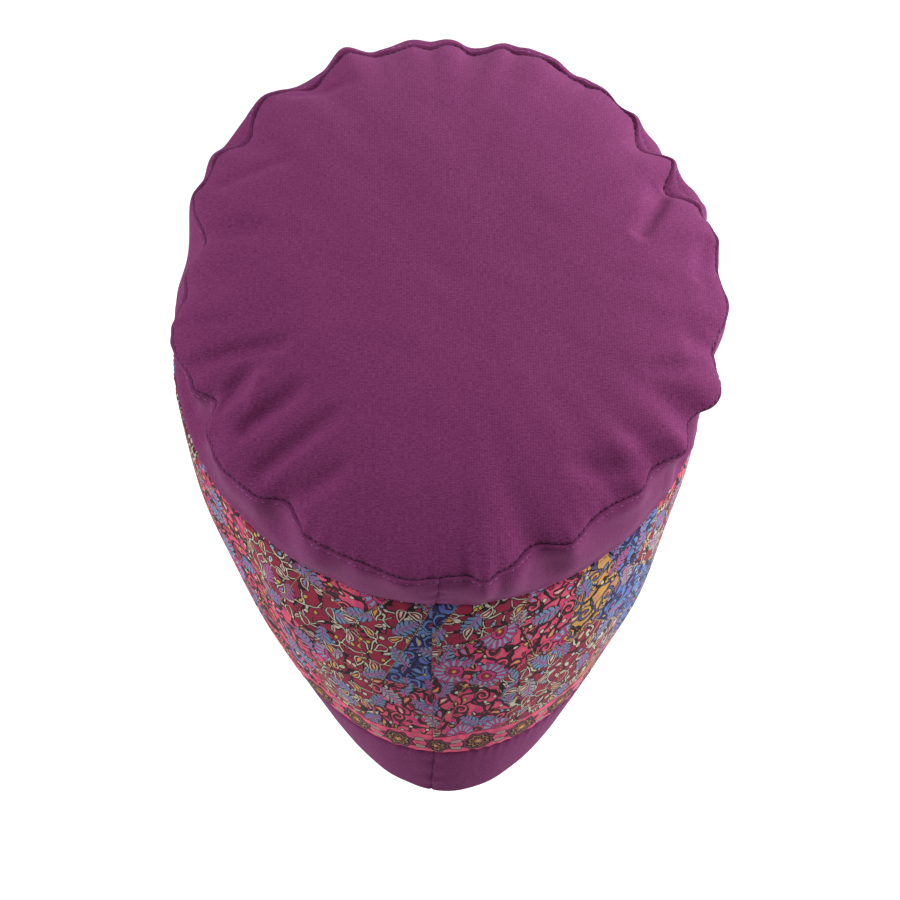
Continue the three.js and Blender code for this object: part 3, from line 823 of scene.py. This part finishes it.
def printMaterial(name, look):
    material, add = newMaterial(name)
    line, outline = look["line"], look["outline"]
    cut = add("VectorMath ADD", [add("UVMap", uv_map="clothPlace"), look["start"]])
    place = warped(add, cut, *look["wobble"])

    # patches of ground colour, each mottled with its second tone
    patch = add("TexVoronoi", {"Vector": cut, "Scale": 1 / look["patchSize"]}, voronoi_dimensions="2D").node
    kind = add("SeparateColor", [patch.outputs["Color"]]).node.outputs[0]
    starts, *columns = zip(*look["patches"])
    ground, second, lineColour, shares = (pickOne(add, kind, list(zip(starts, column))) for column in columns)
    curlShare, dropShare, fanShare = add("SeparateColor", [shares]).node.outputs
    mottle = add("TexNoise", {"Vector": place, **look["mottle"]})
    mottled = add("MapRange", [mottle, *look["mottleRange"]])
    colour = add("Mix", [mottled, ground, second], data_type="RGBA")

    # vines: a warped net of stems in the patch's line colour, with a dark outline
    vine = look["vine"]
    net = add("TexVoronoi", {"Vector": warped(add, cut, *vine["warp"]), "Scale": 1 / vine["size"]},
              voronoi_dimensions="2D", feature="DISTANCE_TO_EDGE")
    stem = add("Math MULTIPLY", [net, vine["size"]])
    growth = add("TexNoise", {"Vector": cut, **vine["growth"]})
    grown = add("Math GREATER_THAN", [growth, vine["growsFrom"]])
    colour = painted(add, colour, stem, [(vine["half"] + vine["outlineLines"] * line, outline)])
    colour = painted(add, colour, stem, [(vine["half"], lineColour)], grown)

    # small pointed buds in the line colour, each with a heart of its own colour
    bud = look["bud"]
    x, y, draw, pick = motifCells(add, place, bud)
    bow = bowed(add, x, add("Math ABSOLUTE", [y]), bud["bend"])
    heart = pickOne(add, pick, look["cores"])
    bands = [(bud["half"], outline), (bud["half"] - line, lineColour), (bud["heart"], heart)]
    colour = painted(add, colour, bow, bands, under(add, draw, bud["kept"]))

    # rimmed dots
    dot = look["dot"]
    x, y, draw, pick = motifCells(add, place, dot)
    bands = [(dot["radius"], outline), (dot["radius"] - line, pickOne(add, pick, look["dots"]))]
    colour = painted(add, colour, lengthOf(add, x, y), bands, under(add, draw, dot["kept"]))

    # curls: a thick line that winds in, on a round of the ground colour
    curl = look["curl"]
    x, y, draw, _ = motifCells(add, place, curl)
    radius = lengthOf(add, x, y)
    heading = add("Math ARCTAN2", [y, x])
    spiral = add("Math MULTIPLY_ADD", [heading, -curl["pitch"] / (2 * math.pi), radius])
    winding = add("Math WRAP", [spiral, -curl["pitch"] / 2, curl["pitch"] / 2])
    winding = add("Math ABSOLUTE", [winding])
    kept = under(add, draw, curlShare)
    colour = painted(add, colour, radius, [(curl["radius"], outline), (curl["radius"] - line, ground)], kept)
    inside = under(add, radius, curl["radius"] - line, kept)
    bands = [(curl["half"] + line, outline), (curl["half"], lineColour)]
    colour = painted(add, colour, winding, bands, inside)
    colour = painted(add, colour, radius, curl["eye"], inside)

    # feathered leaves: blue lobes that turn lilac towards a pink vein
    leaf = look["leaf"]
    x, y, draw, pick = motifCells(add, place, leaf)
    side = add("Math ABSOLUTE", [y])
    along = add("Math MULTIPLY", [x, leaf["lobeAlong"]])
    lobe = add("Math SINE", [add("Math MULTIPLY_ADD", [side, leaf["lobeLean"], along])])
    edge = add("Math MULTIPLY_ADD", [lobe, leaf["lobeDepth"], bowed(add, x, side, leaf["bend"])])
    kept = under(add, draw, leaf["kept"])
    nearVein = add("MapRange", [side, *leaf["nearVein"]])
    blade = add("Mix", [nearVein, pickOne(add, pick, look["leaves"]), toLinear(leaf["nearVeinColour"])],
                data_type="RGBA")
    colour = painted(add, colour, edge, [(leaf["half"], outline), (leaf["half"] - line, blade)], kept)
    inside = under(add, edge, leaf["half"] - line, kept)
    outer = add("Math GREATER_THAN", [side, leaf["gapStart"]])
    colour = painted(add, colour, lobe, leaf["gap"], add("Math MULTIPLY", [outer, inside]))
    colour = painted(add, colour, side, leaf["vein"], inside)

    # drops with a bent tip, in rings round a core
    drop = look["drop"]
    x, y, draw, _ = motifCells(add, place, drop)
    run = add("MapRange", [x, *drop["length"], 0.0, 1.0])
    side = add("Math SUBTRACT", [bowed(add, x, y, drop["bend"]), drop["middle"]])
    side = add("Math ABSOLUTE", [side])
    left = add("Math SUBTRACT", [1.0, add("Math MULTIPLY", [run, run])])
    width = add("Math MULTIPLY", [run, add("Math SQRT", [left])])
    depth = add("Math MULTIPLY_ADD", [width, -drop["width"], side])
    core = pickOne(add, add("Math DIVIDE", [draw, dropShare]), look["cores"])
    bands = [(0.0, outline), (-line, lineColour), (-line - drop["ring"], outline),
             (-2 * line - drop["ring"], ground), (drop["core"], core)]
    colour = painted(add, colour, depth, bands, under(add, draw, dropShare))

    # fans: half-round flowers of narrow petals round a pink eye
    fan = look["fan"]
    x, y, draw, _ = motifCells(add, place, fan)
    wide = add("Math MULTIPLY", [x, fan["flatness"]])
    radius = lengthOf(add, wide, y)
    heading, wave = petalWave(add, wide, y, fan["petals"])
    edge = add("Math MULTIPLY_ADD", [wave, fan["petalDepth"], radius])
    opened = under(add, add("Math ABSOLUTE", [heading]), fan["opening"])
    opened = under(add, draw, fanShare, opened)
    bands = [(fan["radius"], outline), (fan["radius"] - line, fan["rim"])]
    colour = painted(add, colour, edge, bands, opened)
    inside = under(add, edge, fan["radius"] - line, opened)
    colour = painted(add, colour, wave, fan["petalBands"], inside)
    colour = painted(add, colour, radius, fan["eye"], under(add, draw, fanShare))

    # patch borders, drawn as running stitches
    border = look["border"]
    gap = add("TexVoronoi", {"Vector": cut, "Scale": 1 / look["patchSize"]},
              voronoi_dimensions="2D", feature="DISTANCE_TO_EDGE")
    gap = add("Math MULTIPLY", [gap, look["patchSize"]])
    across, up, _ = add("SeparateXYZ", [cut]).node.outputs
    slope = add("Math MULTIPLY", [add("Math ADD", [across, up]), 2 * math.pi / border["dashPitch"]])
    dash = under(add, add("Math SINE", [slope]), border["dashShare"])
    colour = painted(add, colour, gap, [(border["half"], border["colour"])])
    colour = painted(add, colour, gap, [(border["threadHalf"], border["thread"])], dash)

    # lower stripe: coral, with ringed medallions and long beads between them
    stripe = look["stripe"]
    onBand = add("VectorMath SUBTRACT", [place, look["start"]])
    across, up, _ = add("SeparateXYZ", [onBand]).node.outputs
    coral = add("Mix", [mottled, toLinear(stripe["light"]), toLinear(stripe["dark"])], data_type="RGBA")
    cell = add("Math WRAP", [across, -stripe["pitch"] / 2, stripe["pitch"] / 2])
    height = add("Math SUBTRACT", [up, stripe["height"] / 2])
    flat = add("Math MULTIPLY", [cell, stripe["flatness"]])
    _, wave = petalWave(add, flat, height, stripe["petals"])
    edge = add("Math MULTIPLY_ADD", [wave, stripe["petalDepth"], lengthOf(add, flat, height)])
    coral = painted(add, coral, edge, stripe["medallion"])
    beadEnd = add("Math SUBTRACT", [fromPair(add, cell, stripe["pitch"] / 2), stripe["beadHalf"]])
    beadEnd = add("Math MAXIMUM", [beadEnd, 0.0])
    beadRound = lengthOf(add, beadEnd, fromPair(add, height, stripe["beadRow"]))
    coral = painted(add, coral, beadRound, stripe["bead"])
    bands = [(stripe["height"] + stripe["edge"], outline), (stripe["height"], coral)]
    colour = painted(add, colour, up, bands)

    # the print is darkened in the knit's grooves and lightened on its ribs and raised loops, as painted shade
    # and painted light, and varied by the yarn's slubs
    height, ribShare = knitOf(add, look)
    shadeAndSlub = add("MapRange", [ribShare, 0.0, 1.0, *look["shadeAndSlubShares"]])
    colour = add("VectorMath MULTIPLY", [colour, shadeAndSlub])
    finishMaterial(add, colour, look["finish"], height, look["ribDepth"])
    return material


def reverseMaterial(name, look):
    material, add = newMaterial(name)
    back = look["reverse"]
    stain = add("TexNoise", {"Vector": add("UVMap", uv_map="clothPlace"), **back["stain"]})
    stained = add("MapRange", [stain, *back["stainRange"]])
    colour = add("Mix", [stained, toLinear(back["rose"]), toLinear(back["lilac"])], data_type="RGBA")
    height, _ = knitOf(add, look)
    finishMaterial(add, colour, back["finish"], height, look["ribDepth"])
    return material


printBand.data.materials.append(printMaterial("bambooJerseyPrinted", printLook))
printBand.data.materials.append(reverseMaterial("bambooJerseyPrintedReverse", printLook))

# Polyester thread: smooth, so a little shinier than the cloth around it
threadLook = {
    "dark": "#541A48", "pale": "#986C9E", "plum": "#7E3C6C", "fleckScale": 900.0, "fleckShade": 0.8,
    "finish": {"Roughness": 0.55, "Specular IOR Level": 0.4},
}


def threadMaterial(name, hexColour, look):
    material, add = newMaterial(name)
    fleck = add("TexNoise", {"Vector": add("TexCoord", out=3), "Scale": look["fleckScale"]})
    light = toLinear(hexColour)
    dark = [part * look["fleckShade"] for part in light[:3]] + [1]
    finishMaterial(add, add("Mix", [fleck, dark, light], data_type="RGBA"), look["finish"])
    return material


darkThread = threadMaterial("polyesterThreadDark", threadLook["dark"], threadLook)
paleThread = threadMaterial("polyesterThreadPale", threadLook["pale"], threadLook)
plumThread = threadMaterial("polyesterThreadPlum", threadLook["plum"], threadLook)
threads = {
    darkThread: (crownStitches, topStitches, backStitches[0], backStitches[2]),
    paleThread: (lowerStitches,),
    plumThread: (rungStitches, backStitches[1]),
}
for material, things in threads.items():
    for thing in things:
        thing.data.materials.append(material)
print("materials ready")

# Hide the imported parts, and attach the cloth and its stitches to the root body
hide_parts("crown_panel")
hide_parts("side_panel")
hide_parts("print_band")
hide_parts("rim_band")
for thing in (crownPanel, sidePanel, rimBand, crownStitches, lowerStitches, rungStitches, *backStitches):
    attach(thing, "root")
for thing in (printBand, topStitches):
    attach(thing, "root")

# Studio: a pale matt floor well below the cap, and wide soft lights, the strongest from the right and the
# front right. Sizes and places are in metres, power in watts.
studio = {
    "floorDrop": 0.62, "floorSize": 9, "floorDark": "#F8F8F8", "floorLight": "#FCFCFC", "mottleScale": 3.0,
    "floorFinish": {"Roughness": 0.9, "Specular IOR Level": 0.1},
    "worldColour": "#FFFFFF", "worldStrength": 0.13, "lightSize": 1.2,
    "aim": (0, 0, 0.076),            # the cap's middle, which the lights and the camera face
    "lights": {
        "rightLight": ((-1.9, 0.1, 0.7), 37), "leftLight": ((1.9, 0.1, 0.7), 31),
        "frontRightLight": ((-1.4, -1.3, 0.8), 38), "frontLight": ((0, -1.9, 1.0), 9),
        "topLight": ((0, 0, 2.1), 11),
    },
}

bpy.ops.mesh.primitive_plane_add(size=studio["floorSize"], location=(0, 0, -studio["floorDrop"]))
floor = bpy.context.object
floor.name = "studio_floor"
material, add = newMaterial("paintedFloor")
mottle = add("TexNoise", {"Vector": add("TexCoord", out=3), "Scale": studio["mottleScale"]})
floorHues = [toLinear(studio["floorDark"]), toLinear(studio["floorLight"])]
finishMaterial(add, add("Mix", [mottle, *floorHues], data_type="RGBA"), studio["floorFinish"])
floor.data.materials.append(material)

world = bpy.data.worlds.new("studioLight")
world.use_nodes = True
background = world.node_tree.nodes["Background"]
background.inputs["Color"].default_value = toLinear(studio["worldColour"])
background.inputs["Strength"].default_value = studio["worldStrength"]
scene.world = world
aim = Vector(studio["aim"])


def softLight(name, place, size, power):
    light = bpy.data.lights.new(name, "AREA")
    light.shape, light.size, light.energy = "DISK", size, power
    lamp = bpy.data.objects.new(name, light)
    lamp.location = place
    lamp.rotation_euler = (aim - Vector(place)).to_track_quat("-Z", "Y").to_euler()
    scene.collection.objects.link(lamp)


for name, (place, power) in studio["lights"].items():
    softLight(name, place, studio["lightSize"], power)

# Camera: above and behind the head. Angles are from level and from straight behind, the distance and the clip
# are in metres, the sensor in mm, and the image's width and shifts in its pixels.
view = {
    "elevation": math.radians(43.07), "aside": math.radians(0.94), "distance": 1.086, "pixelsPerMm": 2.45,
    "sensorWidth": 36, "imageWidth": 900, "shiftRight": 6.1, "shiftUp": -27.2, "clip": 50,
}
cameraData = bpy.data.cameras.new("camera")
camera = bpy.data.objects.new("camera", cameraData)
scene.collection.objects.link(camera)
level = math.cos(view["elevation"])
away = Vector((math.sin(view["aside"]) * level, math.cos(view["aside"]) * level, math.sin(view["elevation"])))
camera.location = aim + away * view["distance"]
camera.rotation_euler = (-away).to_track_quat("-Z", "Y").to_euler()
cameraData.sensor_width = view["sensorWidth"]
cameraData.lens = view["sensorWidth"] * view["pixelsPerMm"] * view["distance"] / mm / view["imageWidth"]
cameraData.shift_x = view["shiftRight"] / view["imageWidth"]
cameraData.shift_y = view["shiftUp"] / view["imageWidth"]
cameraData.clip_end = view["clip"]
scene.camera = camera
scene.view_settings.view_transform = "Standard"
print("studio ready")
